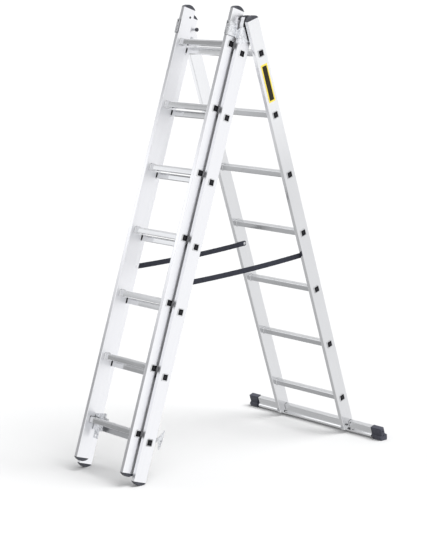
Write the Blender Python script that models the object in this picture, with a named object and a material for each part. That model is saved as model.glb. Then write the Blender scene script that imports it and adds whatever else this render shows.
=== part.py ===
"""Three-section multi position ladder, standing as an A-frame with the front section slid down.

World frame: X along the rungs, the climbing side faces -Y, +Z up, floor at Z = 0.
Each section is modelled in its own frame: x along the rungs, y backwards through the rail
depth, z along the rail, with z = 0 at the section's bottom rung.
"""

import math

import bmesh
import bpy
from mathutils import Matrix, Vector

for old in list(bpy.data.objects):
    bpy.data.objects.remove(old, do_unlink=True)

# ---------------------------------------------------------------- driving dimensions (metres)
PITCH = 0.280            # rung to rung
RUNGS = 7                # rungs in each section
LEAN = math.radians(18.3)  # each leg from the vertical
RUNG_Z = 0.1765          # bottom rung of the middle and rear sections above the floor
SPREAD = 1.1404          # middle to rear bottom rung, along Y
Y_MID = 0.0153           # plane half way between the two legs, in the part's frame
X_MID = 0.013            # the sections' middle, off the middle of the longer stabiliser bar

RAIL_T = 0.020           # rail thickness, along X
RAIL_D = 0.066           # rail depth
RAIL_WALL = 0.0015
RAIL_CHAMFER = 0.0022
RAIL_BOTTOM = -0.169     # rail end below the bottom rung
RAIL_TOP = 1.829         # rail end above the bottom rung
REAR_BOTTOM = -0.158

W_FRONT = 0.330          # outside widths of the three sections
W_MIDDLE = 0.386
W_REAR = 0.441

SLIDE_GAP = 0.0486       # front section ahead of the middle one, across the rails
SLIDE_REST = 0.0266      # front section above the middle one when down on its stops

RUNG_OUT = 0.028         # square rung tube
RUNG_IN = 0.0248
RUNG_PROUD = 0.0015      # rung end past the rail
GAP = 0.0003             # clearance between touching pieces

CAP_SAG = 0.0145         # rise of the rounded end caps
FOOT_SAG = 0.0135
PLUG_LEN = 0.024

HINGE_Z = 1.742          # fold axis along either leg
HINGE_IN = 0.0245        # fold axis off either leg's centre line
PIN_R = 0.005

STRAP_Z_MID = {-1: 0.7135, 1: 0.688}        # strap ends inside the left and right middle rails
STRAP_Y_MID = 0.020
STRAP_Z_REAR, STRAP_Y_REAR = 0.7320, 0.004  # strap ends on the rear rails' inner faces
STRAP_W, STRAP_T, STRAP_SAG = 0.023, 0.0015, 0.007

BAR_HALF = 0.3715        # half length of the bare stabiliser bar
BAR_END = 0.434          # half length with its end caps
BAR_Y = 0.015            # bar centre behind the rail centre
BAR_X = -X_MID           # bar centre off the middle of the rear section
BAR_TOP, BAR_BOTTOM = -0.130, -0.181
BAR_HALF_TOP, BAR_HALF_FOOT = 0.011, 0.021
BAR_WALL = 0.002

SIN, COS = math.sin(LEAN), math.cos(LEAN)


# ---------------------------------------------------------------- helpers
def material(name, colour, metallic, roughness):
    mat = bpy.data.materials.new(name)
    mat.use_nodes = True
    shader = mat.node_tree.nodes["Principled BSDF"]
    shader.inputs["Base Color"].default_value = (*colour, 1.0)
    shader.inputs["Metallic"].default_value = metallic
    shader.inputs["Roughness"].default_value = roughness
    return mat


ALUMINIUM = material("aluminium", (0.80, 0.81, 0.83), 1.0, 0.38)
PLASTIC = material("black_plastic", (0.035, 0.036, 0.042), 0.0, 0.55)
STEEL = material("zinc_steel", (0.62, 0.63, 0.64), 1.0, 0.42)
WEBBING = material("webbing", (0.030, 0.031, 0.038), 0.0, 0.85)


def empty(name, location, rotation):
    obj = bpy.data.objects.new(name, None)
    obj.empty_display_size = 0.05
    obj.location = location
    obj.rotation_euler = (rotation, 0.0, 0.0)
    bpy.context.scene.collection.objects.link(obj)
    return obj


class Section:
    """A parent empty and the offset from the section's frame to the empty's own."""

    def __init__(self, name, location, rotation, offset=(0.0, 0.0, 0.0)):
        self.empty = empty(name, location, rotation)
        self.offset = Vector(offset)


def object_of(bm, name, section, mat, cutter=False):
    bmesh.ops.remove_doubles(bm, verts=bm.verts, dist=1e-7)
    bmesh.ops.recalc_face_normals(bm, faces=bm.faces)
    if section is not None:
        bmesh.ops.translate(bm, verts=bm.verts, vec=-section.offset)
    mesh = bpy.data.meshes.new(name)
    bm.to_mesh(mesh)
    bm.free()
    obj = bpy.data.objects.new(name, mesh)
    bpy.context.scene.collection.objects.link(obj)
    if section is not None:
        obj.parent = section.empty
    if cutter:
        obj.hide_render = True
        obj.display_type = "WIRE"
    else:
        mesh.materials.append(mat)
    return obj


def prism(bm, points, axis, low, high):
    """Adds a prism. points are (y, z), (x, y) or (x, z) for axis x, z or y."""

    def corner(p, at):
        if axis == "x":
            return (at, p[0], p[1])
        if axis == "z":
            return (p[0], p[1], at)
        return (p[0], at, p[1])

    lower = [bm.verts.new(corner(p, low)) for p in points]
    upper = [bm.verts.new(corner(p, high)) for p in points]
    count = len(points)
    made = [bm.faces.new(lower), bm.faces.new(list(reversed(upper)))]
    for i in range(count):
        j = (i + 1) % count
        made.append(bm.faces.new((lower[j], lower[i], upper[i], upper[j])))
    bmesh.ops.recalc_face_normals(bm, faces=made)


def box(bm, low, high):
    prism(bm, [(low[0], low[1]), (high[0], low[1]), (high[0], high[1]), (low[0], high[1])], "z", low[2], high[2])


def disc(radius, sides, centre=(0.0, 0.0), turn=0.5):
    return [
        (
            centre[0] + radius * math.cos(2 * math.pi * (i + turn) / sides),
            centre[1] + radius * math.sin(2 * math.pi * (i + turn) / sides),
        )
        for i in range(sides)
    ]


def stepped_pin(bm, steps, sides_axis, centre, sides=16):
    """A turned pin along X or Y: steps are (start, end, radius), end to end, as one skin of rings."""
    rings = []
    for start, end, radius in steps:
        for at in (start, end):
            ring = []
            for a, b in disc(radius, sides, centre):
                ring.append(bm.verts.new((at, a, b) if sides_axis == "x" else (a, at, b)))
            rings.append(ring)
    for first, second in zip(rings, rings[1:]):
        for i in range(sides):
            j = (i + 1) % sides
            bm.faces.new((first[i], first[j], second[j], second[i]))
    bm.faces.new(rings[0])
    bm.faces.new(rings[-1])


def chamfered(half_x, half_y, cut, cx=0.0, cy=0.0):
    return [
        (cx - half_x + cut, cy - half_y), (cx + half_x - cut, cy - half_y),
        (cx + half_x, cy - half_y + cut), (cx + half_x, cy + half_y - cut),
        (cx + half_x - cut, cy + half_y), (cx - half_x + cut, cy + half_y),
        (cx - half_x, cy + half_y - cut), (cx - half_x, cy - half_y + cut),
    ]


def cut(obj, cutter, name, operation="DIFFERENCE"):
    modifier = obj.modifiers.new(name, "BOOLEAN")
    modifier.operation = operation
    modifier.solver = "EXACT"
    modifier.object = cutter


# ---------------------------------------------------------------- sections
middle_origin = Vector((X_MID, Y_MID - SPREAD / 2, RUNG_Z))
rear_origin = Vector((X_MID, Y_MID + SPREAD / 2, RUNG_Z))
front_origin = middle_origin + Vector((0.0, -COS, SIN)) * SLIDE_GAP + Vector((0.0, SIN, COS)) * SLIDE_REST
hinge_point = middle_origin + Vector((0.0, COS, -SIN)) * HINGE_IN + Vector((0.0, SIN, COS)) * HINGE_Z

MIDDLE = Section("middle_section", middle_origin, -LEAN)
FRONT = Section("front_section_slide", front_origin, -LEAN)
REAR = Section("rear_section_hinge", hinge_point, LEAN, offset=(0.0, -HINGE_IN, HINGE_Z))


def sides():
    return (("left", -1), ("right", 1))


def rail_holes(cutter_bm, x_low, x_high):
    half = RUNG_OUT / 2 + GAP
    for i in range(RUNGS):
        z = i * PITCH
        box(cutter_bm, (x_low, -half, z - half), (x_high, half, z + half))


def rail(name, section, width, side, bottom, extra=None):
    """A box extrusion with square holes for the rungs through both walls."""
    centre = side * (width / 2 - RAIL_T / 2)
    bm = bmesh.new()
    prism(bm, chamfered(RAIL_T / 2, RAIL_D / 2, RAIL_CHAMFER, centre), "z", bottom, RAIL_TOP)
    obj = object_of(bm, name, section, ALUMINIUM)
    bm = bmesh.new()
    hx, hy = RAIL_T / 2 - RAIL_WALL, RAIL_D / 2 - RAIL_WALL
    box(bm, (centre - hx, -hy, bottom - 0.05), (centre + hx, hy, RAIL_TOP + 0.05))
    cut(obj, object_of(bm, name + ".bore", section, None, True), "bore")
    bm = bmesh.new()
    rail_holes(bm, centre - 0.02, centre + 0.02)
    if extra:
        extra(bm, side, centre)
    cut(obj, object_of(bm, name + ".holes", section, None, True), "holes")
    return obj


def rung(name, section, width, index):
    z = index * PITCH
    end = width / 2 + RUNG_PROUD
    bm = bmesh.new()
    rings = []
    for half in (RUNG_OUT / 2, RUNG_IN / 2):
        square = ((-half, z - half), (half, z - half), (half, z + half), (-half, z + half))
        rings.append([[bm.verts.new((x, a, b)) for a, b in square] for x in (-end, end)])
    (out_low, out_high), (in_low, in_high) = rings
    for i in range(4):
        j = (i + 1) % 4
        bm.faces.new((out_low[i], out_low[j], out_high[j], out_high[i]))
        bm.faces.new((in_low[j], in_low[i], in_high[i], in_high[j]))
        bm.faces.new((out_low[j], out_low[i], in_low[i], in_low[j]))
        bm.faces.new((out_high[i], out_high[j], in_high[j], in_high[i]))
    return object_of(bm, name, section, ALUMINIUM)


def end_cap(name, section, width, side, at, sag, upwards, floor=None, segments=10):
    """A rounded plastic end: a circular segment on the rail's end, and a plug inside it."""
    centre = side * (width / 2 - RAIL_T / 2)
    sign = 1 if upwards else -1
    half = RAIL_D / 2
    radius = (half * half + sag * sag) / (2 * sag)
    base = at + sign * GAP
    rim = 0.002
    reach = math.asin(half / radius)
    arc = [(-half, base)]
    for i in range(segments + 1):
        a = -reach + 2 * reach * i / segments
        arc.append((radius * math.sin(a), base + sign * (rim + radius * math.cos(a) - (radius - sag))))
    arc.append((half, base))
    bm = bmesh.new()
    prism(bm, arc, "x", centre - RAIL_T / 2, centre + RAIL_T / 2)
    obj = object_of(bm, name, section, PLASTIC)
    bm = bmesh.new()
    hx, hy = RAIL_T / 2 - RAIL_WALL - GAP, half - RAIL_WALL - GAP
    z = sorted((base + sign * 0.001, at - sign * PLUG_LEN))
    box(bm, (centre - hx, -hy, z[0]), (centre + hx, hy, z[1]))
    cut(obj, object_of(bm, name + ".plug", section, None, True), "plug", "UNION")
    if floor is not None:
        cut(obj, floor, "floor")
    return obj


# ---------------------------------------------------------------- floor plane that trims the feet
bm = bmesh.new()
box(bm, (-0.6, -1.0, -0.2), (0.6, 1.0, 0.0))
FLOOR = object_of(bm, "floor.plane", None, None, True)


# ---------------------------------------------------------------- middle section
def x_hole(bm, radius, y, z, x_low, x_high, sides=16):
    prism(bm, disc(radius, sides, (y, z)), "x", x_low, x_high)


BOLT_Y, BOLT_Z = 0.022, 1.783        # bolt that holds the guide bracket on the middle rail


def middle_extra(bm, side, centre):
    x_hole(bm, PIN_R + GAP, HINGE_IN, HINGE_Z, centre - 0.02, centre + 0.02)
    x_hole(bm, 0.004 + GAP, BOLT_Y, BOLT_Z, centre - 0.02, centre + 0.02)
    inner = sorted((centre, centre - side * 0.02))
    x_hole(bm, 0.003 + GAP, STRAP_Y_MID, STRAP_Z_MID[side], inner[0], inner[1], 12)
    # Slot in the back wall where the strap leaves the rail; the strap rises across the rail's depth.
    rise = (RAIL_D / 2 - RAIL_WALL / 2 - STRAP_Y_MID) * 0.353
    slot = sorted((side * 0.1746, side * 0.1784))
    z = STRAP_Z_MID[side] + rise
    box(bm, (slot[0], RAIL_D / 2 - RAIL_WALL - 0.001, z - 0.0145), (slot[1], RAIL_D / 2 + 0.01, z + 0.0145))


for label, side in sides():
    rail(f"middle_rail_{label}", MIDDLE, W_MIDDLE, side, RAIL_BOTTOM, middle_extra)
    end_cap(f"middle_foot_{label}", MIDDLE, W_MIDDLE, side, RAIL_BOTTOM, FOOT_SAG, False, FLOOR)
    end_cap(f"middle_top_cap_{label}", MIDDLE, W_MIDDLE, side, RAIL_TOP, CAP_SAG, True)
for i in range(RUNGS):
    rung(f"middle_rung_{i + 1}", MIDDLE, W_MIDDLE, i)

# Guide bracket: a plate on the middle rail's outer face, with an arm folded round the front rail.
PLATE = 0.0025
A_BACK = -SLIDE_GAP                   # the front rail's centre, in the middle section's y
FRONT_OUT = W_FRONT / 2 + 0.0042      # clear of the front rail's outer face
MIDDLE_OUT = W_MIDDLE / 2 + 0.0008
LIP_Y = A_BACK - RAIL_D / 2 - 0.0022  # clear of the front rail's front face
STEP_Y = -RAIL_D / 2 - 0.0016
GUIDE_PATH = [                        # inner skin of the sheet: x, y, lower edge, upper edge
    (0.1490, LIP_Y, 1.738, 1.800), (FRONT_OUT - 0.003, LIP_Y, 1.738, 1.800), (FRONT_OUT, LIP_Y + 0.003, 1.739, 1.798),
    (FRONT_OUT, -0.0440, 1.740, 1.794), (FRONT_OUT, -0.0415, 1.740, 1.790), (FRONT_OUT, STEP_Y - 0.004, 1.740, 1.771),
    (FRONT_OUT + 0.004, STEP_Y, 1.7355, 1.773), (MIDDLE_OUT - 0.003, STEP_Y, 1.716, 1.783),
    (MIDDLE_OUT, STEP_Y + 0.003, 1.711, 1.786), (MIDDLE_OUT, -0.0140, 1.7205, 1.791), (MIDDLE_OUT, 0.0120, 1.7345, 1.796),
    (MIDDLE_OUT, 0.0160, 1.7310, 1.797), (MIDDLE_OUT, RAIL_D / 2, 1.7310, 1.800),
]


def folded_sheet(bm, path, thickness, side):
    """A folded sheet whose height changes along its path, as one skin of four-cornered rings."""
    points = [Vector(p[:2]) for p in path]
    normals = []
    for p, q in zip(points, points[1:]):
        d = (q - p).normalized()
        normals.append(Vector((d.y, -d.x)))
    rings = []
    for i, (p, (_, _, low, high)) in enumerate(zip(points, path)):
        n = normals[max(i - 1, 0)] + normals[min(i, len(normals) - 1)]
        q = p + n * (thickness * 2 / n.length_squared)
        rings.append([
            bm.verts.new((side * p.x, p.y, low)), bm.verts.new((side * p.x, p.y, high)),
            bm.verts.new((side * q.x, q.y, high)), bm.verts.new((side * q.x, q.y, low)),
        ])
    for first, second in zip(rings, rings[1:]):
        for i in range(4):
            j = (i + 1) % 4
            bm.faces.new((first[i], first[j], second[j], second[i]))
    bm.faces.new(rings[0])
    bm.faces.new(rings[-1])


for label, side in sides():
    bm = bmesh.new()
    folded_sheet(bm, GUIDE_PATH, PLATE, side)
    bracket = object_of(bm, f"guide_bracket_{label}", MIDDLE, STEEL)
    bm = bmesh.new()
    span = sorted((side * 0.185, side * 0.205))
    x_hole(bm, PIN_R + GAP, HINGE_IN, HINGE_Z, span[0], span[1])
    x_hole(bm, 0.004 + GAP, BOLT_Y, BOLT_Z, span[0], span[1])
    cut(bracket, object_of(bm, f"guide_bracket_{label}.holes", MIDDLE, None, True), "holes")

    # Bolt through the bracket and the rail, with a spacer and a round nut on the inside.
    bm = bmesh.new()
    plate_out = MIDDLE_OUT + PLATE
    inner = W_MIDDLE / 2 - RAIL_T
    steps = [(inner - 0.026, inner - 0.018, 0.0090), (inner - 0.018, inner - GAP, 0.0050),
             (inner - GAP, plate_out + GAP, 0.004), (plate_out + GAP, plate_out + 0.0022, 0.0070)]
    if side < 0:
        steps = [(-b, -a, r) for a, b, r in reversed(steps)]
    stepped_pin(bm, steps, "x", (BOLT_Y, BOLT_Z))
    object_of(bm, f"bracket_bolt_{label}", MIDDLE, STEEL)

    # Hinge pin: flat head on the middle rail's inner face, collar inside the rear rail.
    bm = bmesh.new()
    rear_in = W_REAR / 2 - RAIL_T
    steps = [(inner - 0.0035, inner - GAP, 0.0080), (inner - GAP, rear_in + RAIL_WALL + GAP, PIN_R),
             (rear_in + RAIL_WALL + GAP, rear_in + RAIL_WALL + 0.005, 0.0064)]
    if side < 0:
        steps = [(-b, -a, r) for a, b, r in reversed(steps)]
    stepped_pin(bm, steps, "x", (HINGE_IN, HINGE_Z))
    object_of(bm, f"hinge_pin_{label}", MIDDLE, STEEL)

# Rung hook behind the right end of the bottom rung: a curved blade on a flange riveted to the rung's back.
back = RUNG_OUT / 2 + 0.0004
x_out = W_MIDDLE / 2 - RAIL_T - 0.0022
blade = [
    (back, -0.012), (0.034, -0.006), (0.055, 0.003), (0.069, 0.006), (0.073, -0.004), (0.0775, -0.020),
    (0.081, -0.028), (0.0855, -0.021), (0.0885, -0.006), (0.0905, 0.014), (0.0915, 0.034), (0.0925, 0.060),
    (0.089, 0.058), (0.081, 0.044), (0.070, 0.031), (0.056, 0.022), (0.034, 0.016), (back, 0.012),
]
bm = bmesh.new()
prism(bm, blade, "x", x_out - 0.004, x_out)
hook = object_of(bm, "rung_hook", MIDDLE, STEEL)
bm = bmesh.new()
box(bm, (x_out - 0.034, back, -0.0112), (x_out - 0.001, back + 0.003, 0.0112))
cut(hook, object_of(bm, "rung_hook.flange", MIDDLE, None, True), "flange", "UNION")


# ---------------------------------------------------------------- front section, slides on the middle one
def front_extra(bm, side, centre):
    x_hole(bm, 0.0050, 0.012, 1.793, centre - 0.02, centre + 0.02, 12)


for label, side in sides():
    rail(f"front_rail_{label}", FRONT, W_FRONT, side, RAIL_BOTTOM, front_extra)
    end_cap(f"front_foot_{label}", FRONT, W_FRONT, side, RAIL_BOTTOM, FOOT_SAG, False)
    end_cap(f"front_top_cap_{label}", FRONT, W_FRONT, side, RAIL_TOP, CAP_SAG, True)

    # Stop bracket behind the bottom rung: a plate that rises above the rung and ends below it in a tab
    # with a hole.
    half = RUNG_OUT / 2 + 0.0004
    sheet = 0.003
    x_rail = W_FRONT / 2 - RAIL_T - 0.0006
    if side < 0:
        upper = [(x_rail, 0.0290), (0.0850, 0.0400), (0.0790, 0.0385), (0.0760, 0.0340), (0.0750, 0.0250), (0.0750, 0.0205),
                 (0.0590, 0.0205), (0.0570, 0.0185), (0.0570, 0.0000), (0.0810, 0.0000)]
    else:
        upper = [(x_rail, 0.0290), (0.1050, 0.0330), (0.0985, 0.0305), (0.0970, 0.0250), (0.0970, 0.0000)]
    lower = 0.0810 if side < 0 else 0.0970
    plate = [(x_rail, -0.0400)] + upper + [
        (lower, -0.0330), (lower + 0.004, -0.0400), (0.0985, -0.0400), (0.0985, -0.0700), (0.1025, -0.0745),
        (0.1245, -0.0745), (0.1285, -0.0700), (0.1285, -0.0400),
    ]
    bm = bmesh.new()
    prism(bm, [(side * p, q) for p, q in plate], "y", half, half + sheet)
    bracket = object_of(bm, f"stop_bracket_{label}", FRONT, STEEL)
    bm = bmesh.new()
    prism(bm, disc(0.0060, 12, (side * 0.1150, -0.0630)), "y", half - 0.01, half + 0.01)
    cut(bracket, object_of(bm, f"stop_bracket_{label}.hole", FRONT, None, True), "hole")
for i in range(RUNGS):
    rung(f"front_rung_{i + 1}", FRONT, W_FRONT, i)


# ---------------------------------------------------------------- rear section, folds on the hinge pins
BAR_FRONT = BAR_Y - BAR_HALF_TOP      # front face of the stabiliser bar, in the section's y
BAR_BOLT_Z = -0.143


def rear_extra(bm, side, centre):
    inner = sorted((centre, centre - side * 0.02))
    x_hole(bm, PIN_R + 2 * GAP, -HINGE_IN, HINGE_Z, inner[0], inner[1])
    x_hole(bm, 0.003 + GAP, STRAP_Y_REAR, STRAP_Z_REAR, inner[0], inner[1], 12)
    # Notch that straddles the bar, the slot in the outer wall, and the bolt hole in the front wall.
    box(bm, (centre - 0.03, BAR_FRONT - GAP, REAR_BOTTOM - 0.03), (centre + 0.03, 0.06, BAR_TOP + GAP))
    outer = sorted((centre, centre + side * 0.02))
    slot = []
    for i in range(14):
        a = math.pi * i / 6 if i < 7 else math.pi * (i - 1) / 6
        along = -0.0070 if i < 7 else 0.0070
        u, w = along - 0.0042 * math.sin(a), 0.0042 * math.cos(a)
        tilt = math.radians(-32)
        slot.append((-0.012 + u * math.cos(tilt) - w * math.sin(tilt), -0.139 + u * math.sin(tilt) + w * math.cos(tilt)))
    prism(bm, slot, "x", outer[0], outer[1])
    prism(bm, disc(0.0035 + GAP, 12, (centre, BAR_BOLT_Z)), "y", -0.05, -0.02)


for label, side in sides():
    rail(f"rear_rail_{label}", REAR, W_REAR, side, REAR_BOTTOM, rear_extra)
    end_cap(f"rear_top_cap_{label}", REAR, W_REAR, side, RAIL_TOP, CAP_SAG, True)
for i in range(RUNGS):
    rung(f"rear_rung_{i + 1}", REAR, W_REAR, i)


def bar_outline(grow, top, bottom):
    """Bell-shaped section of the stabiliser: upright walls that flare into a rounded foot."""
    t, f = BAR_HALF_TOP + grow, BAR_HALF_FOOT + grow
    right = [(t - 0.002, top), (t, top - 0.002), (t, -0.161), (t + 0.003, -0.1655), (f - 0.001, -0.1690), (f, -0.172)]
    arc = []
    drop = -0.172 - bottom
    for i in range(1, 6):
        a = math.pi / 2 * i / 6
        arc.append((f - 0.010 * (1 - math.cos(a)), -0.172 - drop * math.sin(a)))
    right += arc + [(f - 0.010, bottom)]
    return [(BAR_Y + a, b) for a, b in right] + [(BAR_Y - a, b) for a, b in reversed(right)]


bm = bmesh.new()
prism(bm, bar_outline(0.0, BAR_TOP, BAR_BOTTOM), "x", BAR_X - BAR_HALF, BAR_X + BAR_HALF)
bar = object_of(bm, "stabiliser_bar", REAR, ALUMINIUM)
bm = bmesh.new()
prism(bm, bar_outline(-BAR_WALL, BAR_TOP - BAR_WALL, BAR_BOTTOM + BAR_WALL), "x", BAR_X - BAR_HALF - 0.05, BAR_X + BAR_HALF + 0.05)
cut(bar, object_of(bm, "stabiliser_bar.bore", REAR, None, True), "bore")
bm = bmesh.new()
for label, side in sides():
    prism(bm, disc(0.0035 + GAP, 12, (side * (W_REAR / 2 - RAIL_T / 2), BAR_BOLT_Z)), "y", -0.03, BAR_Y)
cut(bar, object_of(bm, "stabiliser_bar.holes", REAR, None, True), "holes")

for label, side in sides():
    bm = bmesh.new()
    span_x = sorted((BAR_X + side * (BAR_HALF + GAP), BAR_X + side * BAR_END))
    prism(bm, bar_outline(0.0016, BAR_TOP + 0.0016, -0.197), "x", span_x[0], span_x[1])
    cap = object_of(bm, f"stabiliser_cap_{label}", REAR, PLASTIC)
    bm = bmesh.new()
    span_x = sorted((BAR_X + side * (BAR_HALF - 0.028), BAR_X + side * (BAR_HALF + 0.010)))
    shrink = -BAR_WALL - GAP
    prism(bm, bar_outline(shrink, BAR_TOP + shrink, BAR_BOTTOM - shrink), "x", span_x[0], span_x[1])
    cut(cap, object_of(bm, f"stabiliser_cap_{label}.plug", REAR, None, True), "plug", "UNION")
    cut(cap, FLOOR, "floor")

    bm = bmesh.new()
    face = -RAIL_D / 2
    stepped_pin(
        bm,
        [(face - 0.0042, face - GAP, 0.0065), (face - GAP, BAR_FRONT + BAR_WALL + 0.004, 0.0035)],
        "y", (side * (W_REAR / 2 - RAIL_T / 2), BAR_BOLT_Z), 12,
    )
    object_of(bm, f"stabiliser_bolt_{label}", REAR, STEEL)


# ---------------------------------------------------------------- opening straps between the two legs
def to_world(section_origin, lean, x, y, z):
    return section_origin + Matrix.Rotation(lean, 3, "X") @ Vector((x, y, z))


def strap_outline(length, tail, clip, steps=12):
    """Side view of a slack band: it sags between its rivets, and its ends are clipped."""
    half = STRAP_W / 2

    def edge(offset):
        return [(length * i / steps, offset - 4 * STRAP_SAG * (i / steps) * (1 - i / steps)) for i in range(steps + 1)]

    lower = [(-tail + clip, -half)] + edge(-half) + [(length + tail - clip, -half)]
    upper = [(-tail + clip, half)] + edge(half) + [(length + tail - clip, half)]
    right = [(length + tail, -half + clip), (length + tail, half - clip)]
    left = [(-tail, half - clip), (-tail, -half + clip)]
    return lower + right + upper[::-1] + left


for label, side in sides():
    middle_in, rear_in = W_MIDDLE / 2 - RAIL_T, W_REAR / 2 - RAIL_T
    x_mid = middle_in + RAIL_WALL + 3 * GAP + STRAP_T / 2
    x_rear = rear_in - 0.0015
    a = to_world(middle_origin, -LEAN, side * x_mid, STRAP_Y_MID, STRAP_Z_MID[side])
    b = to_world(rear_origin, LEAN, side * x_rear, STRAP_Y_REAR, STRAP_Z_REAR)
    along = (b - a).normalized()
    across = Vector((1.0, 0.0, 0.0))
    across = (across - along * across.dot(along)).normalized()
    up = across.cross(along)
    if up.z < 0:
        up.negate()
    length = (b - a).length
    bm = bmesh.new()
    prism(bm, strap_outline(length, 0.010, 0.004), "z", -STRAP_T / 2, STRAP_T / 2)
    strap = object_of(bm, f"opening_strap_{label}", None, WEBBING)
    place = Matrix((along, up, along.cross(up))).transposed().to_4x4()
    place.translation = a
    strap.matrix_world = place
    bm = bmesh.new()
    for at in (0.0, length):
        prism(bm, disc(0.003 + 2 * GAP, 12, (at, 0.0)), "z", -0.02, 0.02)
    holes = object_of(bm, f"opening_strap_{label}.holes", None, None, True)
    holes.matrix_world = place
    cut(strap, holes, "holes")

    # Rivets: the front one through the middle rail's inner wall with its collar inside the rail,
    # the rear one with a wide head over the strap.
    inside = x_mid + STRAP_T / 2 + 0.0006
    head = x_rear - STRAP_T / 2 - 0.0008
    for end, section, y, z, steps in (
        ("middle", MIDDLE, STRAP_Y_MID, STRAP_Z_MID[side],
         [(middle_in - 0.0012, middle_in - GAP, 0.0045), (middle_in - GAP, inside, 0.0030), (inside, inside + 0.0014, 0.0045)]),
        ("rear", REAR, STRAP_Y_REAR, STRAP_Z_REAR,
         [(head - 0.0012, head - 0.0006, 0.0045), (head - 0.0006, head, 0.0065), (head, rear_in + RAIL_WALL + 0.0012, 0.0030)]),
    ):
        if side < 0:
            steps = [(-q, -p, r) for p, q, r in reversed(steps)]
        bm = bmesh.new()
        stepped_pin(bm, steps, "x", (y, z), 12)
        object_of(bm, f"strap_rivet_{end}_{label}", section, STEEL)

bpy.context.view_layer.update()
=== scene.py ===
"""Looks of the three-section multi position ladder: extruded aluminium, moulded plastic, galvanised steel, webbing."""

import math  # noqa: E402

import bmesh  # noqa: E402
import bpy  # noqa: E402
from mathutils import Matrix, Vector  # noqa: E402


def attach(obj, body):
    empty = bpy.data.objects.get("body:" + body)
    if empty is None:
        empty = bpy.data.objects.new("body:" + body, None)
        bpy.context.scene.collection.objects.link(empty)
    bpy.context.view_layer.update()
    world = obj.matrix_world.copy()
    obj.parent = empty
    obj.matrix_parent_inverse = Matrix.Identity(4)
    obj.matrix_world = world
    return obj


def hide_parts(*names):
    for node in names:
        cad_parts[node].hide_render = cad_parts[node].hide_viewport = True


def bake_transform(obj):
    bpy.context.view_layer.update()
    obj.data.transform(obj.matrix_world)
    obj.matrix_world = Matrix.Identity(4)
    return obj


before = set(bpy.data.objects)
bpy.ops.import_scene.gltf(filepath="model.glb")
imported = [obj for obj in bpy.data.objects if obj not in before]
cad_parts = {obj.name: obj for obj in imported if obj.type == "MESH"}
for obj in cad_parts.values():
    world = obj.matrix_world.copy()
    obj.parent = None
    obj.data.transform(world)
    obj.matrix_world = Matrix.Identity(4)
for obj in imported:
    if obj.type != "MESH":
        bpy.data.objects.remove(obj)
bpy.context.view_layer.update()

# ---------------------------------------------------------------- dimensions shared with the construction (metres)
PITCH, RUNGS = 0.280, 7
LEAN = math.radians(18.3)
RUNG_Z, SPREAD, Y_MID, X_MID = 0.1765, 1.1404, 0.0153, 0.013
RAIL_T, RAIL_D, RAIL_WALL = 0.020, 0.066, 0.0015
RAIL_BOTTOM, RAIL_TOP, REAR_BOTTOM = -0.169, 1.829, -0.158
W_FRONT, W_MIDDLE, W_REAR = 0.330, 0.386, 0.441
SLIDE_GAP, SLIDE_REST = 0.0486, 0.0266
RUNG_HALF, RUNG_BORE = 0.0140, 0.0124
GAP = 0.0003
CAP_SAG, FOOT_SAG = 0.0145, 0.0135
HINGE_Z, HINGE_IN, PIN_R = 1.742, 0.0245, 0.005
STRAP_Z_MID, STRAP_Y_MID = {-1: 0.7135, 1: 0.688}, 0.020
STRAP_Z_REAR, STRAP_Y_REAR = 0.7320, 0.004
STRAP_W, STRAP_T, STRAP_SAG = 0.023, 0.0015, 0.007
BAR_HALF, BAR_END, BAR_X, BAR_Y = 0.3715, 0.434, -X_MID, 0.015
BAR_TOP, BAR_BOTTOM = -0.130, -0.181
BAR_HALF_TOP, BAR_HALF_FOOT, BAR_WALL = 0.011, 0.021, 0.002
BAR_BOLT_Z = -0.143
BOLT_Y, BOLT_Z = 0.022, 1.783
PLATE = 0.0025

SIN, COS = math.sin(LEAN), math.cos(LEAN)

middle_origin = Vector((X_MID, Y_MID - SPREAD / 2, RUNG_Z))
front_origin = middle_origin + Vector((0.0, -COS, SIN)) * SLIDE_GAP + Vector((0.0, SIN, COS)) * SLIDE_REST
hinge_point = middle_origin + Vector((0.0, COS, -SIN)) * HINGE_IN + Vector((0.0, SIN, COS)) * HINGE_Z

M_MIDDLE = Matrix.Translation(middle_origin) @ Matrix.Rotation(-LEAN, 4, "X")
M_FRONT = Matrix.Translation(front_origin) @ Matrix.Rotation(-LEAN, 4, "X")
M_REAR = (
    Matrix.Translation(hinge_point)
    @ Matrix.Rotation(LEAN, 4, "X")
    @ Matrix.Translation(Vector((0.0, HINGE_IN, -HINGE_Z)))
)
SECTIONS = {
    "front": (M_FRONT, "front_section", W_FRONT, RAIL_BOTTOM),
    "middle": (M_MIDDLE, "middle_section", W_MIDDLE, RAIL_BOTTOM),
    "rear": (M_REAR, "rear_section", W_REAR, REAR_BOTTOM),
}
SIDES = (("left", -1), ("right", 1))


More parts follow.
